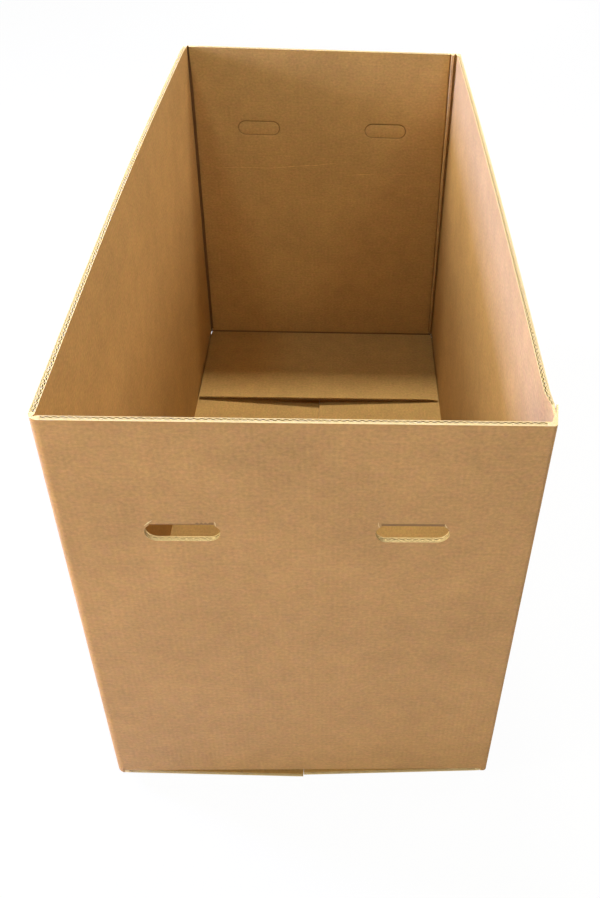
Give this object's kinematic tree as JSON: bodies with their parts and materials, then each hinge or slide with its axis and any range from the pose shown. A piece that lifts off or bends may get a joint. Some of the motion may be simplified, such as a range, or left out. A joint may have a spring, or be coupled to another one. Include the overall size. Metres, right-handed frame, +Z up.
{
  "type": "moving box with hand holes",
  "caption": "Large open-topped box of double-wall corrugated board with hand holes in its end panels and folding bottom flaps.",
  "frame": {"origin": "on the floor, under the middle of the box", "axes": "+Z up to the open rim, +Y from the end panel with the opened hand holes (at -Y) to the other end panel, +X to the wall with the glued lap"},
  "size_m": [0.5623, 1.1, 0.7228],
  "materials": {
    "kraft_board": "matte"
  },
  "bodies": {
    "carton": {"carton_body": "kraft_board"},
    "left_flap": {"bottom_flap_left": "kraft_board"},
    "right_flap": {"bottom_flap_right": "kraft_board"}
  },
  "joints": [
    {"name": "left_flap_fold", "type": "hinge", "parent": "carton", "child": "left_flap", "pos_m": [-0.2715, 0, 0.01904], "axis": [0, 1, 0], "range_deg": [-3.3, 176.7]},
    {"name": "right_flap_fold", "type": "hinge", "parent": "carton", "child": "right_flap", "pos_m": [0.2715, 0, 0.01904], "axis": [0, -1, 0], "range_deg": [-2.2, 177.8]}
  ]
}
